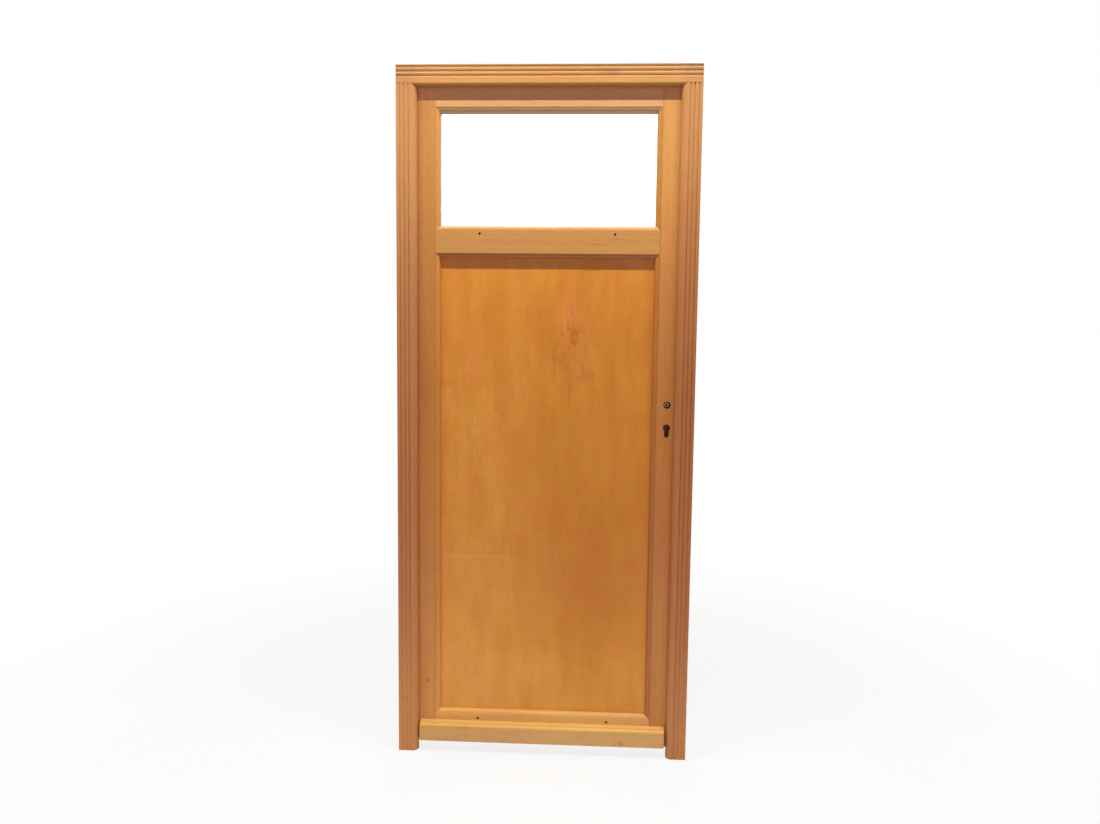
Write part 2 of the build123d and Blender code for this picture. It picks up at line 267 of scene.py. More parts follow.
# what each piece is cut from. tones are its colours from one end to the other (foot to top, or hinge side to
# lock side), heart the pith's place across and behind it and lean how fast the pith drifts along it, both in
# metres. figure is how strongly the growth rings show
timberPieces = {
    "hinge_post": {"grain": "z", "heart": (-0.06, 0.16), "lean": 0.011, "seed": 1.7, "figure": 0.15,
                   "tones": ((200, 138, 80), (181, 115, 66), (194, 137, 83))},
    "lock_post": {"grain": "z", "heart": (0.97, 0.12), "lean": -0.009, "seed": 5.3, "figure": 0.15,
                  "tones": ((190, 129, 78), (171, 103, 56), (190, 132, 76))},
    "frame_head": {"grain": "x", "heart": (2.15, 0.14), "lean": 0.016, "seed": 9.1, "figure": 0.4,
                   "tones": ((198, 141, 80), (198, 140, 79), (198, 141, 82))},
    "hinge_stile": {"grain": "z", "heart": (0.10, 0.11), "lean": 0.008, "seed": 12.6, "figure": 0.4,
                    "tones": ((206, 139, 70), (188, 117, 50), (195, 134, 70))},
    "lock_stile": {"grain": "z", "heart": (0.79, 0.15), "lean": -0.012, "seed": 17.2, "figure": 0.4,
                   "tones": ((193, 125, 62), (190, 117, 51), (215, 154, 81))},
    "top_rail": {"grain": "x", "heart": (2.06, 0.10), "lean": -0.014, "seed": 21.4, "figure": 0.6,
                 "tones": ((211, 156, 102), (211, 156, 104), (211, 156, 105))},
    "mid_rail": {"grain": "x", "heart": (1.58, 0.07), "lean": 0.018, "seed": 25.9, "figure": 0.9,
                 "tones": ((199, 141, 75), (199, 140, 75), (199, 140, 76))},
    "bottom_rail": {"grain": "x", "heart": (0.05, 0.12), "lean": 0.012, "seed": 31.3, "figure": 0.5,
                    "tones": ((224, 164, 85), (225, 165, 86), (219, 158, 92))},
    "weatherboard": {"grain": "x", "heart": (0.04, 0.06), "lean": -0.010, "seed": 36.8, "figure": 0.8,
                     "tones": ((215, 167, 101), (215, 166, 103), (214, 163, 102))},
}
# the eight beads: one timber, with a seed of its own for each
beadTimber = {
    "grain": {"bottom": "x", "top": "x", "lock_side": "z", "hinge_side": "z"},
    "level": {"light": 1.8, "panel": 0.8},
    "heartAcross": 0.2,
    "heartBehind": 0.1,
    "lean": 0.01,
    "figure": 0.5,
    "seed": 40,
    "seedStep": 3,
    "tones": ((203, 134, 70), (200, 131, 68), (203, 134, 70)),
}
for opening, level in beadTimber["level"].items():
    for count, (side, grain) in enumerate(beadTimber["grain"].items()):
        across = level if grain == "x" else beadTimber["heartAcross"]
        timberPieces[opening + "_bead_" + side] = {
            "grain": grain,
            "heart": (across, beadTimber["heartBehind"]),
            "lean": beadTimber["lean"],
            "seed": beadTimber["seed"] + level + beadTimber["seedStep"] * count,
            "figure": beadTimber["figure"],
            "tones": beadTimber["tones"],
        }
# knots and stains: place along and across the grain, size both ways, depth. markPush is how far, in sizes, a
# mark bends the rings round it
timberMarks = {
    "hinge_stile": [(0.22, 0.088, 0.0060, 0.0042, 0.75)],
    "weatherboard": [(0.206, 0.078, 0.012, 0.004, 0.35), (0.572, 0.061, 0.016, 0.004, 0.3),
                     (0.70, 0.043, 0.007, 0.004, 0.55)],
    "frame_head": [(0.63, 2.078, 0.035, 0.006, 0.4)],
    "mid_rail": [(0.60, 1.585, 0.030, 0.0016, 0.35), (0.66, 1.601, 0.022, 0.0014, 0.35),
                 (0.53, 1.573, 0.026, 0.0014, 0.3)],
}
markPush = {"share": 0.8, "steep": 0.1}
# painted light and shade on the fronts of pieces, with a few plain tone steps among them: axis, where it
# starts, where it is full, shares of the colour
timberPaintedLightAndTone = {
    # hinge stile: its moulding, facing the light, painted paler; the head's shadow band painted lighter and
    # redder; painted shade at mid-height and painted light above it, following the lamp's fall-off
    "hinge_stile": [("x", 0.112, 0.116, (1.12, 1.18, 1.16)), ("z", 2.004, 2.009, (1.38, 1.23, 1.95)),
                    ("z", 1.28, 1.50, (0.99, 0.955, 0.93)), ("z", 1.64, 1.84, (1.01, 1.047, 1.075))],
    # lock stile: painted shade beside its moulding and darker on the moulding, which faces away from the light;
    # the head's shadow band painted redder; the same painted fall-off with height
    "lock_stile": [("x", 0.815, 0.790, (0.945, 0.94, 0.93)), ("x", 0.792, 0.787, (0.82, 0.765, 0.655)),
                   ("z", 2.004, 2.009, (1.02, 0.89, 1.42)), ("z", 1.28, 1.50, (1.0, 0.945, 0.93)),
                   ("z", 1.64, 1.84, (1.0, 1.058, 1.075))],
    # lock post: painted shade at mid-height and painted light above it, following the lamp's fall-off
    "lock_post": [("z", 1.28, 1.50, (0.98, 0.925, 0.91)), ("z", 1.64, 1.84, (1.02, 1.08, 1.10))],
    # head: its flat painted paler and its upper reeds darker, as painted light; painted shade on its underside
    # below the flat; both ends plainly a little darker
    "frame_head": [("z", 2.066, 2.062, (1.05, 1.06, 1.03)), ("z", 2.066, 2.070, (0.95, 0.97, 1.0)),
                   ("z", 2.050, 2.047, (0.74, 0.70, 0.66)), ("x", 0.075, 0.045, (0.88, 0.88, 0.96)),
                   ("x", 0.825, 0.855, (0.91, 0.89, 0.91))],
    # bottom rail: a touch greener from 0.11 m up
    "bottom_rail": [("z", 0.106, 0.113, (1.0, 1.06, 0.98))],
    # mid rail: painted highlight on its upward moulding; painted shade on its downward moulding
    "mid_rail": [("z", 1.626, 1.630, (1.02, 1.21, 1.52)), ("z", 1.559, 1.555, (0.70, 0.52, 0.48))],
    # top rail: painted shade on its downward moulding; the head's shadow band painted redder
    "top_rail": [("z", 1.987, 1.983, (0.76, 0.81, 0.83)), ("z", 2.004, 2.009, (1.05, 0.885, 0.95))],
    # weatherboard: less blue on its face below the crown; the crown, which faces up, painted pale as a painted
    # highlight
    "weatherboard": [("z", 0.060, 0.082, (0.98, 0.97, 0.74)), ("z", 0.078, 0.087, (1.24, 1.29, 1.20))],
}
paintedFrontSpan = (0.012, 0.016)  # from front to back, where this painted light and shade ends
# painted light on the reeds towards the foot, grooves painted paler and crests darker so that their shading
# flattens out:
# the stretch across each post that has them, the shares of groove and crest, the heights between which the
# painting ends, and depths from the post's front
reedStretch = {"hinge_post": (0.0, 0.0445), "lock_post": (0.8555, 0.900)}
reedPaintedLight = {
    "groove": (1.17, 1.22, 1.22),
    "crest": (1.01, 0.95, 0.93),
    "heights": (0.36, 0.98),
    "edge": 0.001,
    "crestToGroove": (0.0004, 0.0026),
    "below": (0.0034, 0.0040),
}
# bores painted dark inside, as painted shade: kind, radius, x and z at the face, and the rise with depth. The
# painted shade spreads a little on the face
timberBoreShade = {
    "mid_rail": [("drain", 0.003, 0.2465, 1.615, 0.466), ("drain", 0.003, 0.6535, 1.615, 0.466)],
    "bottom_rail": [("drain", 0.003, 0.2465, 0.101, 0.466), ("drain", 0.003, 0.6535, 0.101, 0.466)],
    "lock_stile": [("keyhole", 0.01075, 0.82, 1.036, 0.0), ("keyhole", 0.00725, 0.82, 1.021, 0.0),
                   ("keyhole", 0.00725, 0.82, 1.0138, 0.0), ("spindle", 0.0105, 0.82, 1.106, 0.0)],
}
boreShade = {
    "drain": {"tone": (112, 44, 8), "spread": 0.0018},
    "keyhole": {"tone": (128, 76, 46), "spread": 0.0009},
    "spindle": {"tone": (40, 22, 14), "spread": 0.0009},
}
boreEnd = (0.0275, 0.0285)
lastTone = (0.5, 0.98)  # shares of a piece's length between which its last tone comes in


def along3(shade, place, span, tones, turn):
    # three tones blended along a piece; the second is reached at the share called turn
    first, second, third = [paint(*tone) for tone in tones]
    share = (place - span[0]) / (span[1] - span[0])
    return shade.mix(share.fade(*lastTone), shade.mix(share.fade(0.0, turn), first, second), third)


def timber(name):
    piece = timberPieces[name]
    look = timberFinish
    material, shade = newShade("timber_" + name)
    x, deep, z = shade.axes()
    along, wide, axis = (z, x, 2) if piece["grain"] == "z" else (x, z, 0)
    low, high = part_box(name)
    tone = along3(shade, along, (low[axis], high[axis]), piece["tones"], look["turn"])
    pale, dark, red = [shade.tint(tone, look[key]) for key in ("pale", "deep", "red")]
    # marks push the rings aside and stain the wood
    stain, push = 0.0, 0.0
    for alongAt, wideAt, longSize, wideSize, depth in timberMarks.get(name, ()):
        offAlong, offWide = (along - alongAt) / longSize, (wide - wideAt) / wideSize
        stain = stain + bell(offAlong, offWide) * depth
        push = push + bell(offAlong, offWide, markPush["steep"]) * offWide * (wideSize * markPush["share"])
    # streaks, fibres, pores and clouds: noises drawn out along the grain
    noise = {}
    for key, (seen, *values) in timberNoise.items():
        noise[key] = shade.noise(shade.vector(wide + piece["seed"], deep, along * seen), *values)
    streak, fibre, cloud = noise["streak"], noise["fibre"], noise["cloud"]
    pore = noise["pore"].fade(*look["poreSpan"])
    # growth rings: distance to the pith, which drifts and wavers along the piece, cut into even steps
    drift = along * piece["lean"] + noise["waver"].about() * look["waver"] + push
    reach = distance(wide - piece["heart"][0] + drift, deep - piece["heart"][1])
    ring = (reach * look["ringsPerMetre"] + streak * look["ringStreak"]).fract() ** look["ringShape"]
    ringAmount = ring * (look["ringDepth"] * piece["figure"]) * cloud.fade(*look["ringSpan"])
    colour = shade.mix(streak.fade(*look["streakSpan"]), pale, tone)
    colour = shade.mix(cloud.fade(*look["redSpan"]) * look["redDepth"], colour, red)
    colour = shade.mix(ringAmount, colour, dark)
    colour = shade.vary(colour, fibre, look["fibreDepth"])
    colour = shade.mix(pore * look["poreDepth"], colour, dark)
    # painted light and shade, and a few plain tone steps, on the front of the piece only
    for way, start, full, shares in timberPaintedLightAndTone.get(name, ()):
        amount = (x if way == "x" else z).ramp(start, full) * (1 - deep.fade(*paintedFrontSpan))
        colour = shade.wash(amount, colour, shares)
    # painted light: near the foot the reed grooves are painted paler and the crests darker
    if name in reedStretch:
        near, far = reedStretch[name]
        sunk = deep - low.y
        reeded = (x - near).fade(0.0, reedPaintedLight["edge"]) * (far - x).fade(0.0, reedPaintedLight["edge"])
        reeded = reeded * (1 - sunk.fade(*reedPaintedLight["below"])) * (1 - z.fade(*reedPaintedLight["heights"]))
        crest, groove = [shade.tint(colour, reedPaintedLight[key]) for key in ("crest", "groove")]
        colour = shade.mix(reeded, colour, shade.mix(sunk.fade(*reedPaintedLight["crestToGroove"]), crest, groove))
    if name in timberMarks:
        colour = shade.mix(stain * (look["markEven"] + streak), colour, shade.tint(dark, look["mark"]))
    # arrises are rubbed pale here and there
    soft = shade.softNormal(look["arris"])
    worn = shade.wornEdge(soft) * cloud.fade(*look["wearSpan"])
    colour = shade.mix(worn * look["wearDepth"], colour, pale)
    # painted shade inside the bores and round their mouths
    for kind, radius, boreX, boreZ, rise in timberBoreShade.get(name, ()):
        bore = boreShade[kind]
        off = distance(x - boreX, z - boreZ - (deep - low.y) * rise)
        inside = (1 - off.fade(radius, radius + bore["spread"])) * (1 - deep.fade(*boreEnd))
        colour = shade.mix(inside, colour, paint(*bore["tone"]))
    height, rougher = look["height"], look["rougher"]
    relief = fibre * height["fibre"] + ring * height["ring"] - pore * height["pore"]
    rough = fibre * rougher["fibre"] + pore * rougher["pore"] + worn * rougher["wear"]
    shade.finish({
        "Base Color": colour,
        "Roughness": look["roughness"] + rough,
        "Specular IOR Level": look["specular"],
        "Coat Weight": look["coat"],
        "Coat Roughness": look["coatRoughness"],
        "Normal": shade.bump(relief, *look["bump"], soft),
    })
    return material


for name in timberPieces:
    dress(name, timber(name))
print("timber:", len(timberPieces), "pieces")


# veneered panel: upright grain, browner towards the lock side and most of all low down there, paler at the
# foot, with painted shade where the rail's shadow falls under it. Every tone but the first three is a share of
# the colour below it.
# Places and sizes are metres, across and up; a sway is how far the slow noise moves an edge
panelVeneer = {
    "tones": ((220, 151, 60), (210, 135, 46), (213, 135, 42)),
    "turn": 0.34,
    "grainSway": 0.06,
    "rowSway": 0.05,
    "light": (1.05, 1.10, 1.28),
    "dusk": (0.94, 0.88, 0.72),
    "mottle": {"band": 0.5, "row": 0.1, "patch": 0.4},
    "mottleSpan": (0.36, 0.64),
    "yellow": (0.985, 1.03, 0.86),
    "pink": (1.015, 0.965, 1.14),
    "hueSpan": (0.3, 0.7),
    "deep": (0.87, 0.78, 0.66),
    "lockSide": (0.92, 0.88, 0.62),
    "lockSideSpan": (0.27, 0.53),
    "lockSideSway": 0.2,
    "lockSideTop": (1.26, 1.46),
    "lockSideTopLoss": 0.8,
    "brown": (0.87, 0.72, 0.20),
    "brownPlace": (0.62, 0.56),
    "brownSize": (0.165, 0.26),
    "brownSway": 0.12,
    "brownEven": 0.5,
    "brownBand": 0.7,
    "foot": (1.03, 1.05, 1.26),
    "footSpan": (0.37, 0.24),
    "railShadow": (0.88, 0.76, 1.28),
    "railShadowSpan": (1.507, 1.519),
    "frontSpan": (0.014, 0.020),
    "fibreDepth": 0.10,
    "poreDepth": 0.4,
    "poreSpan": (0.66, 0.74),
    "arris": 0.0008,
    "height": {"fibre": 0.3, "pore": 0.6},
    "bump": (0.14, 0.0004),
    "roughness": 0.36,
    "rougher": {"row": 0.1, "fibre": 0.08},
    "specular": 0.3,
    "coat": 0.08,
    "coatRoughness": 0.18,
}
# its noises: share of the width seen, shift in depth, share of the height seen, then scale, detail, roughness
panelNoise = {
    "waver": (1.0, 0.0, 0.7, 6.0, 3.0, 0.5),
    "band": (1.0, 0.0, 0.14, 24.0, 3.0, 0.6),
    "row": (0.28, 1.9, 1.0, 24.0, 3.0, 0.55),
    "patch": (1.0, 5.2, 0.55, 13.0, 4.0, 0.6),
    "hue": (1.0, 11.3, 0.6, 17.0, 5.0, 0.6),
    "fibre": (1.0, 0.0, 0.045, 400.0, 2.0, 0.6),
    "pore": (1.0, 0.0, 0.05, 1100.0, 0.0, 0.5),
    "rag": (1.0, 0.0, 0.42, 46.0, 4.0, 0.62),
    "stroke": (1.0, 3.1, 0.11, 210.0, 2.0, 0.6),
    "dash": (0.18, 9.4, 1.0, 120.0, 3.0, 0.6),
    "lick": (1.0, 4.6, 0.3, 120.0, 3.0, 0.6),
}
# hairs: short upright strokes and a few level ones, pale in some patches, mostly left of the middle, and dark
# in others. Spans of stroke and patch, depth
panelHairs = {
    "tone": (1.07, 1.15, 1.85),
    "place": (0.25, 1.02),
    "size": (0.17, 0.30),
    "elsewhere": 0.2,
    "upright": ((0.53, 0.65), (0.44, 0.6), 0.9),
    "level": ((0.53, 0.66), (0.42, 0.58), 0.6),
    "dark": ((0.55, 0.7), (0.5, 0.64), 0.35),
}
# a pink blotch right of the middle with fine strokes
panelBlotch = {
    "tone": (1.01, 0.97, 1.50),
    "pale": (1.05, 1.08, 1.24),
    "dark": (0.93, 0.86, 0.86),
    "place": (0.533, 1.285),
    "size": (0.066, 0.135),
    "rag": (0.08, 0.16),
    "span": (0.2, 0.7),
    "lickSpan": (0.5, 0.64),
}
# paler and darker spots in the blotch and beside it, and one level scrape: tone, place, size
panelMarks = [
    ((1.03, 1.03, 1.20), (0.512, 1.385), (0.022, 0.036)),
    ((1.00, 1.10, 1.30), (0.582, 1.272), (0.020, 0.050)),
    ((0.99, 1.06, 1.16), (0.545, 1.225), (0.024, 0.040)),
    ((0.93, 0.87, 0.86), (0.534, 1.325), (0.030, 0.030)),
    ((0.92, 0.84, 0.74), (0.474, 1.228), (0.008, 0.055)),
    ((0.93, 0.87, 0.80), (0.577, 1.188), (0.024, 0.020)),
    ((0.91, 0.83, 0.70), (0.525, 1.147), (0.008, 0.034)),
    ((1.03, 1.04, 1.26), (0.170, 1.260), (0.090, 0.130)),
    ((1.00, 1.00, 0.86), (0.170, 0.540), (0.080, 0.180)),
    ((0.96, 0.95, 0.94), (0.250, 0.632), (0.150, 0.004)),
    ((1.03, 1.06, 1.12), (0.250, 0.620), (0.150, 0.007)),
]
markRag = 1.6  # how ragged a mark's outline is, in sizes of the mark
markSpan = (0.1, 0.75)
# a small loop in the blotch: a thin ring, pointed at the top and broken by the noise, that bends the grain
panelLoop = {
    "tone": (0.86, 0.75, 0.78),
    "place": (0.537, 1.309),
    "size": (0.0095, 0.0185),
    "point": 0.22,
    "rag": 1.5,
    "thin": 7.0,
    "around": (0.035, 0.075),
    "push": 0.9,
}


def veneer():
    material, shade = newShade("veneer_panel")
    look = panelVeneer
    x, y, z = shade.axes()
    low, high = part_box("lower_panel")

    def figure(name, across, up):
        wide, shift, tall, *values = panelNoise[name]
        return shade.noise(shade.vector(across * wide, y + shift, up * tall), *values)

    def hairs(kind, strokes, patches):
        strokeSpan, patchSpan, depth = panelHairs[kind]
        return strokes.fade(*strokeSpan) * patches.fade(*patchSpan) * depth

    # the loop pushes the upright grain aside; a slow noise makes it waver everywhere
    loopX, loopZ = panelLoop["place"]
    sway = figure("waver", x, z).about()
    aside = (x - loopX) * hill(x, z, panelLoop["place"], panelLoop["around"]) * panelLoop["push"]
    drift = x + aside + sway * look["grainSway"]
    # bands along the grain and ripples across it, soft patches, a slow change of hue, fibres and strokes
    band, fibre, stroke = [figure(name, drift, z) for name in ("band", "fibre", "stroke")]
    patch, hue, rag, dash, lick = [figure(name, x, z) for name in ("patch", "hue", "rag", "dash", "lick")]
    row = figure("row", x, z + sway * look["rowSway"])
    pore = figure("pore", drift, z).fade(*look["poreSpan"])
    ragged, patchy = rag.about(), patch.about()
    front = 1 - y.fade(*look["frontSpan"])
    # tones from the slowest to the finest
    colour = along3(shade, z, (low.z, high.z), look["tones"], look["turn"])
    side = (x + sway * look["lockSideSway"]).fade(*look["lockSideSpan"])
    side = side * (1 - z.fade(*look["lockSideTop"]) * look["lockSideTopLoss"])
    colour = shade.wash(side, colour, look["lockSide"])
    brown = hill(x + sway * look["brownSway"], z, look["brownPlace"], look["brownSize"])
    colour = shade.wash(brown * (look["brownEven"] + band * look["brownBand"]), colour, look["brown"])
    colour = shade.wash(z.ramp(*look["footSpan"]), colour, look["foot"])
    ragX, ragZ = panelBlotch["rag"]
    blotch = hill(x + ragged * ragX, z + patchy * ragZ, panelBlotch["place"], panelBlotch["size"])
    blotch = blotch.fade(*panelBlotch["span"]) * front
    colour = shade.wash(blotch, colour, panelBlotch["tone"])
    colour = shade.wash(blotch * lick.fade(*panelBlotch["lickSpan"]), colour, panelBlotch["pale"])
    colour = shade.wash(blotch * (1 - lick).fade(*panelBlotch["lickSpan"]), colour, panelBlotch["dark"])
    for tone, place, size in panelMarks:
        mark = hill(x + ragged * (size[0] * markRag), z + patchy * (size[1] * markRag), place, size)
        colour = shade.wash(mark.fade(*markSpan) * front, colour, tone)
    ringZ = (z - loopZ) / panelLoop["size"][1]
    ringX = (x - loopX) / panelLoop["size"][0] * (1.0 + ringZ * panelLoop["point"])
    rim = distance(ringX, ringZ) - 1 + ragged * panelLoop["rag"]
    colour = shade.wash((rim * rim * -panelLoop["thin"]).exp() * front, colour, panelLoop["tone"])
    yellow, pink = shade.tint(colour, look["yellow"]), shade.tint(colour, look["pink"])
    colour = shade.mix(hue.fade(*look["hueSpan"]), yellow, pink)
    hairy = hill(x, z, panelHairs["place"], panelHairs["size"])
    spread = panelHairs["elsewhere"] + hairy * (1 - panelHairs["elsewhere"])
    colour = shade.wash(hairs("upright", stroke, patch) * spread, colour, panelHairs["tone"])
    colour = shade.wash(hairs("level", dash, 1 - patch) * hairy, colour, panelHairs["tone"])
    colour = shade.wash(hairs("dark", 1 - stroke, 1 - patch), colour, look["deep"])
    # painted shade, redder and bluer, where the mid rail's shadow falls on the panel
    colour = shade.wash(z.fade(*look["railShadowSpan"]) * front, colour, look["railShadow"])
    mottle = look["mottle"]
    mottled = (band * mottle["band"] + row * mottle["row"] + patch * mottle["patch"]).fade(*look["mottleSpan"])
    colour = shade.mix(mottled, shade.tint(colour, look["dusk"]), shade.tint(colour, look["light"]))
    colour = shade.vary(colour, fibre, look["fibreDepth"])
    colour = shade.wash(pore * look["poreDepth"], colour, look["deep"])
    relief = fibre * look["height"]["fibre"] - pore * look["height"]["pore"]
    rough = row * look["rougher"]["row"] + fibre * look["rougher"]["fibre"]
    shade.finish({
        "Base Color": colour,
        "Roughness": look["roughness"] + rough,
        "Specular IOR Level": look["specular"],
        "Coat Weight": look["coat"],
        "Coat Roughness": look["coatRoughness"],
        "Normal": shade.bump(relief, *look["bump"], shade.softNormal(look["arris"])),
    })
    return material


dress("lower_panel", veneer())
print("panel: veneer")


# metals: plated steel with drawn brush lines along one axis and a dull film that is rubbed off the arrises
metalFinish = {
    "hinge": {"bright": (194, 188, 177), "dull": (160, 152, 140), "roughness": 0.34, "lines": "z"},
    "lock": {"bright": (188, 184, 176), "dull": (146, 140, 131), "roughness": 0.36, "lines": "z"},
    # the case's dark tone is partly its dark steel and partly painted shade, so the keyhole and the ring round
    # the spindle read dark
    "case": {"bright": (128, 92, 68), "dull": (98, 64, 44), "roughness": 0.6, "lines": "z"},
    "follower": {"bright": (240, 222, 206), "dull": (214, 190, 170), "roughness": 0.5, "lines": "y"},
    "washer": {"bright": (206, 168, 96), "dull": (150, 112, 58), "roughness": 0.38, "lines": "z"},
}
metalWear = {
    "drawn": 0.04,
    "brush": (900.0, 2.0, 0.6),
    "brushDepth": 0.24,
    "film": (70.0, 4.0, 0.6),
    "filmSpan": (0.45, 0.75),
    "rubbed": 0.7,
    "arris": 0.0005,
    "dullLoss": 0.3,
    "rougher": {"brush": 0.16, "dull": 0.14, "worn": 0.1},
    "bump": (0.12, 0.0002),
}
# painted shade in the gap round the spindle: its axis, x and z, the radius of the follower's face that stays
# unpainted, the radius on the case within which it is painted, and its tone
lockPaintedShade = {"axis": (0.82, 1.106), "unshaded": 0.0058, "case": 0.0115, "edge": 0.0008, "tone": (44, 26, 16)}


# where the painted shade goes: on the case within its radius, on the follower outside its face and down its
# sides
def paintedShadeOn(name, x, y, z):
    edge, unshaded, case = lockPaintedShade["edge"], lockPaintedShade["unshaded"], lockPaintedShade["case"]
    radius = distance(x - lockPaintedShade["axis"][0], z - lockPaintedShade["axis"][1])
    if name == "case":
        return 1 - radius.fade(case, case + edge)
    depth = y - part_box("lock_follower")[0].y
    return radius.calc("MAXIMUM", radius.fade(unshaded, unshaded + edge), depth.fade(edge, 2 * edge))


def metal(name):
    look, wear = metalFinish[name], metalWear
    material, shade = newShade("metal_" + name)
    x, y, z = shade.axes()
    drawn = (x, y, z * wear["drawn"]) if look["lines"] == "z" else (x, y * wear["drawn"], z)
    brush = shade.noise(shade.vector(*drawn), *wear["brush"])
    film = shade.noise(shade.vector(x, y, z), *wear["film"])
    soft = shade.softNormal(wear["arris"])
    worn = shade.wornEdge(soft)
    dull = film.fade(*wear["filmSpan"]) * (1 - worn * wear["rubbed"])
    colour = shade.mix(dull, paint(*look["bright"]), paint(*look["dull"]))
    colour = shade.vary(colour, brush, wear["brushDepth"])
    # painted shade in the gap round the spindle
    if name in ("follower", "case"):
        colour = shade.mix(paintedShadeOn(name, x, y, z), colour, paint(*lockPaintedShade["tone"]))
    rougher = wear["rougher"]
    rough = brush * rougher["brush"] + dull * rougher["dull"] - worn * rougher["worn"]
    shade.finish({
        "Base Color": colour,
        "Metallic": 1 - dull * wear["dullLoss"],
        "Roughness": look["roughness"] + rough,
        "Normal": shade.bump(brush, *wear["bump"], soft),
    })
    return material


metals = {name: metal(name) for name in metalFinish}
for name in nodes:
    if "hinge_frame_half" in name or "hinge_leaf_half" in name:
        dress(name, metals["hinge"])
for name in ("lock_forend", "latch_bolt", "dead_bolt", "strike_plate"):
    dress(name, metals["lock"])
dress("lock_case", metals["case"])
dress("lock_follower", metals["follower"])
dress("hinge_washers", metals["washer"])
print("metal:", len(metals), "finishes")


# clear pane with a breath of dust along its lower edge
paneGlass = {
    "tint": (0.985, 0.995, 0.988, 1.0),
    "ior": 1.5,
    "roughness": 0.005,
    "dust": (38.0, 4.0, 0.6),
    "dustSpan": (0.4, 0.8),
    "dustTop": 0.06,
    "dustRoughness": 0.12,
}


def glass():
    material, shade = newShade("glass_pane")
    x, y, z = shade.axes()
    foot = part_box("light_pane")[0].z
    dust = shade.noise(shade.vector(x, y, z), *paneGlass["dust"]).fade(*paneGlass["dustSpan"])
    dust = dust * (1 - z.ramp(foot, foot + paneGlass["dustTop"]))
    shade.finish({
        "Base Color": paneGlass["tint"],
        "Roughness": dust * paneGlass["dustRoughness"] + paneGlass["roughness"],
        "IOR": paneGlass["ior"],
        "Transmission Weight": 1.0,
    })
    return material


dress("light_pane", glass())
print("pane: glass")


def grid(rows, columns, closed):
    # quads of a grid of points, row after row; closed joins the last column to the first
    count = columns if closed else columns - 1
    row, column = np.meshgrid(np.arange(rows - 1), np.arange(count), indexing="ij")
    here, after = row * columns, (column + 1) % columns
    above = here + columns
    return np.stack([here + column, here + after, above + after, above + column], axis=-1).reshape(-1, 4)


def meshOf(name, points, faces):
    mesh = bpy.data.meshes.new(name)
    mesh.from_pydata(points.tolist(), [], faces.tolist())
    mesh.polygons.foreach_set("use_smooth", np.ones(len(faces), bool))
    mesh.update()
    made = bpy.data.objects.new(name, mesh)
    bpy.context.scene.collection.objects.link(made)
    return made


# heads of countersunk screws and bead pins, metres. rings are shares of the radius; the last one drops to the
# depth called sunk
screwHead = {
    "radius": 0.0042,
    "rings": (*np.linspace(0.0, 0.94, 17), 1.0, 1.0),
    "sides": 48,
    "dome": 0.0005,
    "proud": 0.0001,
    "sunk": 0.0004,
    "recess": 0.0016,
    "taper": 0.45,
    "arm": 0.0026,
    "armHalf": 0.00062,
    "armEnd": 0.0004,
    "armWall": 0.0003,
}
pinHead = {
    "radius": 0.0011,
    "rings": (0.0, 0.55, 0.9, 1.0, 1.0),
    "sides": 12,
    "dome": 0.00018,
    "proud": 0.0001,
    "sunk": 0.0002,
}


def frameOf(facing):
    # two directions across the facing one
    facing = np.array(facing, float)
    upright = abs(facing[2]) < 0.9
    side = np.cross(facing, (0.0, 0.0, 1.0)) if upright else np.array((1.0, 0.0, 0.0))
    side /= np.linalg.norm(side)
    return side, np.cross(facing, side), facing


def disc(head):
    # a disc of radius r and angle t, with the height of a flat dome, 1 - (r/R)^2
    radius = np.array(head["rings"]) * head["radius"]
    angle = np.linspace(0.0, 2 * math.pi, head["sides"], endpoint=False)
    r, t = np.meshgrid(radius, angle, indexing="ij")
    height = head["proud"] + head["dome"] * (1 - (r / head["radius"]) ** 2)
    return r, r * np.cos(t), r * np.sin(t), height


def onFace(head, u, v, height, centre, facing):
    # the disc laid on a face, u and v across it and its height outwards; the rim drops below the face
    height[-1] = -head["sunk"]
    side, other, facing = frameOf(facing)
    spun = u[..., None] * side + v[..., None] * other
    return (np.array(centre) + spun + height[..., None] * facing).reshape(-1, 3), grid(*u.shape, True)


def screw(centre, facing, turn):
    # the disc less a cross recess, which is deep where the point lies within half an arm's width of either
    # arm's line and gets shallower along the arms
    r, u, v, height = disc(screwHead)

    def inArm(across, along):
        wall = np.clip((screwHead["armHalf"] - np.abs(across)) / screwHead["armWall"] + 0.5, 0, 1)
        return wall * np.clip((screwHead["arm"] - np.abs(along)) / screwHead["armEnd"] + 0.5, 0, 1)

    taper = (1 - screwHead["taper"] * r / screwHead["arm"]).clip(0, 1)
    height = height - screwHead["recess"] * np.maximum(inArm(u, v), inArm(v, u)) * taper
    c, s = math.cos(turn), math.sin(turn)
    return onFace(screwHead, u * c - v * s, u * s + v * c, height, centre, facing)


def pin(centre, facing):
    # the plain disc, smaller and coarser
    _, u, v, height = disc(pinHead)
    return onFace(pinHead, u, v, height, centre, facing)


weldReach = 1e-6


def gather(name, parts, body, material):
    # several small surfaces as one piece
    starts = np.cumsum([0] + [len(points) for points, _ in parts])
    points = np.concatenate([points for points, _ in parts])
    faces = np.concatenate([faces + start for (_, faces), start in zip(parts, starts)])
    made = meshOf(name, points, faces)
    made.data.materials.append(material)
    weld = made.modifiers.new("weld", "WELD")
    weld.merge_threshold = weldReach
    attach(made, body)


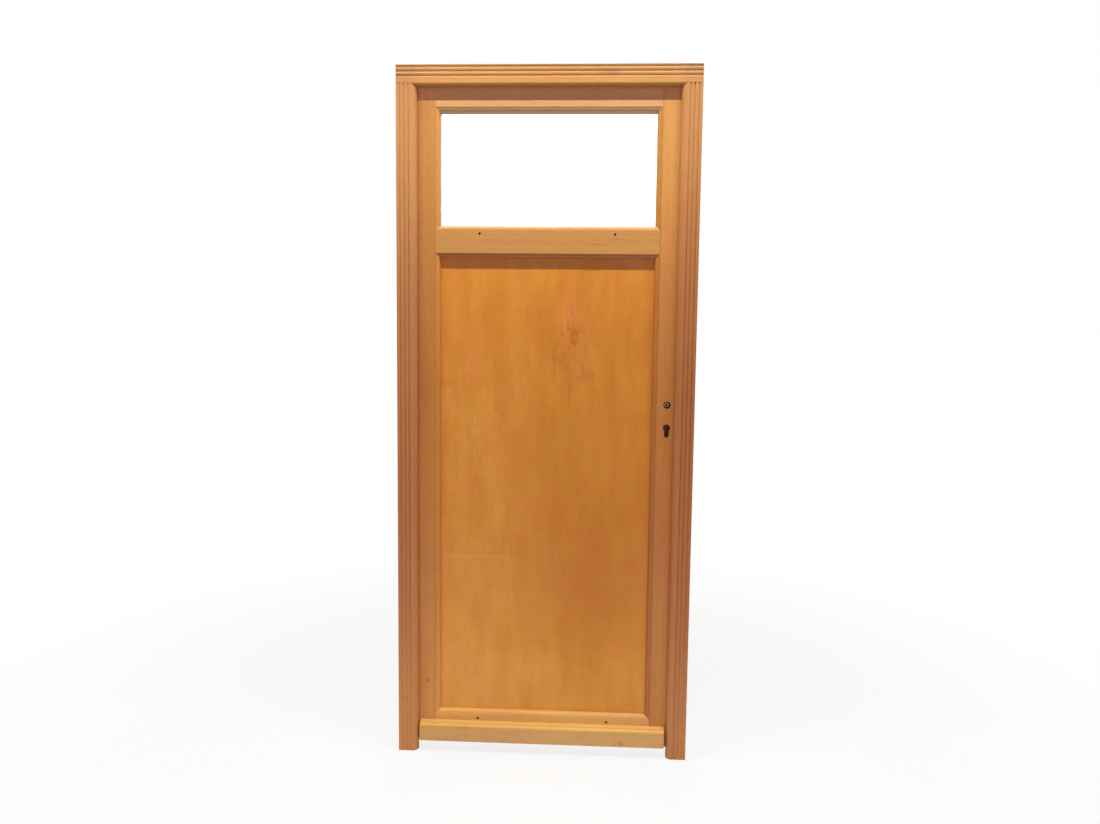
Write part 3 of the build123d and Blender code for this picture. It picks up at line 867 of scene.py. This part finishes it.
# three screws in a hinge wing, two near its ends and one between them set back: share of its height, depth.
# face is where the two wings look at each other
hingeWings = {
    "frame_half": {"face": 0.040, "way": 1, "body": "frame"},
    "leaf_half": {"face": 0.045, "way": -1, "body": "leaf"},
}
wingScrews = ((0.14, 0.0125), (0.5, 0.0205), (0.86, 0.0125))
wingTall = 0.068
wingTurns = (0.7, 1.1)  # how far the slots turn from hinge to hinge and from screw to screw
# two screws in each plate of the lock: which way the plate looks and what it rides on
lockPlates = {"lock_forend": (1, "leaf"), "strike_plate": (-1, "frame")}
plateInset = 0.011
plateTurns = (0.4, 3.0)


def hingeScrews(half):
    wing = hingeWings[half]
    parts = []
    for index, level in enumerate(("lower", "middle", "upper")):
        low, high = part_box(level + "_hinge_" + half)
        base = low.z if half == "frame_half" else high.z - wingTall
        for step, (share, deepAt) in enumerate(wingScrews):
            centre = (wing["face"], deepAt, base + share * wingTall)
            parts.append(screw(centre, (wing["way"], 0, 0), wingTurns[0] * index + wingTurns[1] * step))
    gather("hinge_screws_" + half, parts, wing["body"], metals["hinge"])


def plateScrews(plate):
    way, rides = lockPlates[plate]
    low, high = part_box(plate)
    face = high.x if way > 0 else low.x
    parts = []
    for end in (low.z + plateInset, high.z - plateInset):
        centre = (face, (low.y + high.y) / 2, end)
        parts.append(screw(centre, (way, 0, 0), plateTurns[0] + plateTurns[1] * end))
    gather(plate + "_screws", parts, rides, metals["lock"])


# pins along the inner face of each bead: about how far apart, how far from its ends and off its middle
beadPinning = {"apart": 0.17, "fewest": 3, "end": 0.035, "off": 0.002}


def beadPins():
    parts = []
    for opening in ("light", "panel"):
        for side in ("bottom", "top", "lock_side", "hinge_side"):
            low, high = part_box(opening + "_bead_" + side)
            lengthwise = 0 if side in ("bottom", "top") else 2
            outward = -1 if side in ("bottom", "hinge_side") else 1
            run = high[lengthwise] - low[lengthwise]
            count = max(beadPinning["fewest"], round(run / beadPinning["apart"]))
            for step in range(count):
                centre = (low + high) / 2
                along = (run - 2 * beadPinning["end"]) * step / (count - 1)
                centre[lengthwise] = low[lengthwise] + beadPinning["end"] + along
                centre[2 - lengthwise] += outward * beadPinning["off"]
                centre[1] = high.y
                parts.append(pin(centre, (0, 1, 0)))
    gather("bead_pins", parts, "leaf", metals["hinge"])


for half in hingeWings:
    hingeScrews(half)
for plate in lockPlates:
    plateScrews(plate)
beadPins()
print("fixings: screws and bead pins")


# plain studio: pale floor, white surround, a long strip lamp over the front that is turned a little away,
# a low soft lamp for the light that a pale floor throws back, a broad one far in front, and lamps behind for
# the other sides
studio = {
    "fill": 0.155,
    "fillTint": (1.0, 0.935, 0.95, 1.0),
    "glossShare": 0.4,
    "white": {"Color": (1, 1, 1, 1), "Strength": 1.0},
}
studioFloor = {
    "paint": (228, 227, 225),
    "white": 0.82,
    "whiteSpan": (0.9, 2.6),
    "middle": 0.45,
    "half": 14.0,
    "points": 29,
    "level": -0.0004,
    "grit": (160.0, 3.0, 0.5),
    "gritDepth": 0.06,
}
lamps = {
    "strip": {"place": (0.47, -0.435, 2.64), "aim": (0.47, -1.085, 1.88), "size": (2.6, 0.05), "power": 78.0},
    "low": {"place": (0.45, -1.2, 0.22), "aim": (0.45, 0.0, 0.18), "size": (2.2, 0.3), "power": 2.8},
    "front": {"place": (0.6, -4.2, 1.5), "aim": (0.45, 0.0, 1.0), "size": (4.0, 2.6), "power": 20.0},
    "back": {"place": (0.45, 2.6, 2.4), "aim": (0.45, 0.0, 1.0), "size": (2.4, 2.4), "power": 40.0},
    "left": {"place": (-2.4, 0.6, 1.7), "aim": (0.0, 0.2, 1.0), "size": (1.4, 2.0), "power": 26.0},
    "right": {"place": (3.3, 0.6, 1.7), "aim": (0.9, 0.2, 1.0), "size": (1.4, 2.0), "power": 26.0},
}
lampTint = (1.0, 0.98, 0.935)


def seenDirectly(shade):
    # 1 for rays that come from the camera or a pane, and a share of those from a mirror
    kinds = ("Is Camera Ray", "Is Transmission Ray", "Is Glossy Ray")
    camera, pane, mirror = [shade.node("ShaderNodeLightPath", out=kind) for kind in kinds]
    return camera.calc("MINIMUM", camera + pane + mirror * studio["glossShare"], 1.0)


def addWorld():
    world = bpy.data.worlds.new("surround")
    bpy.context.scene.world = world
    world.use_nodes = True
    shade = Shade(world.node_tree)
    fill = shade.node("ShaderNodeBackground", None, {"Color": studio["fillTint"], "Strength": studio["fill"]})
    white = shade.node("ShaderNodeBackground", None, studio["white"])
    both = shade.node("ShaderNodeMixShader", None, {0: seenDirectly(shade), 1: fill, 2: white})
    shade.node("ShaderNodeOutputWorld", None, {"Surface": both})


def addFloor():
    # a flat square grid under the door, white far off and keeping the shadow near by
    span = np.linspace(-studioFloor["half"], studioFloor["half"], studioFloor["points"])
    across, back = np.meshgrid(span + studioFloor["middle"], span, indexing="ij")
    points = np.stack([across, back, np.full_like(across, studioFloor["level"])], axis=-1).reshape(-1, 3)
    floor = meshOf("floor", points, grid(*across.shape, False))
    material, shade = newShade("floor")
    x, y, z = shade.axes()
    reach = distance(x - studioFloor["middle"], y)
    share = studioFloor["white"] + reach.fade(*studioFloor["whiteSpan"]) * (1 - studioFloor["white"])
    grit = shade.noise(shade.vector(x, y, z), *studioFloor["grit"])
    colour = shade.vary(paint(*studioFloor["paint"]), grit, studioFloor["gritDepth"])
    matt = shade.node("ShaderNodeBsdfDiffuse", None, {"Color": colour})
    glow = shade.node("ShaderNodeEmission", None, studio["white"])
    both = shade.node("ShaderNodeMixShader", None, {0: seenDirectly(shade) * share, 1: matt, 2: glow})
    shade.node("ShaderNodeOutputMaterial", None, {"Surface": both})
    floor.data.materials.append(material)


def addLamp(name):
    lamp = lamps[name]
    data = bpy.data.lights.new(name, "AREA")
    data.shape = "RECTANGLE"
    data.size, data.size_y = lamp["size"]
    data.energy = lamp["power"]
    data.color = lampTint
    made = bpy.data.objects.new(name, data)
    bpy.context.scene.collection.objects.link(made)
    forward = (Vector(lamp["aim"]) - Vector(lamp["place"])).normalized()
    right = forward.cross(Vector((0, 1, 0) if abs(forward.z) > 0.9 else (0, 0, 1))).normalized()
    turn = Matrix((right, right.cross(forward), -forward)).transposed().to_4x4()
    made.matrix_world = Matrix.Translation(lamp["place"]) @ turn


addWorld()
addFloor()
for name in lamps:
    addLamp(name)
print("studio: lamps, floor and surround")
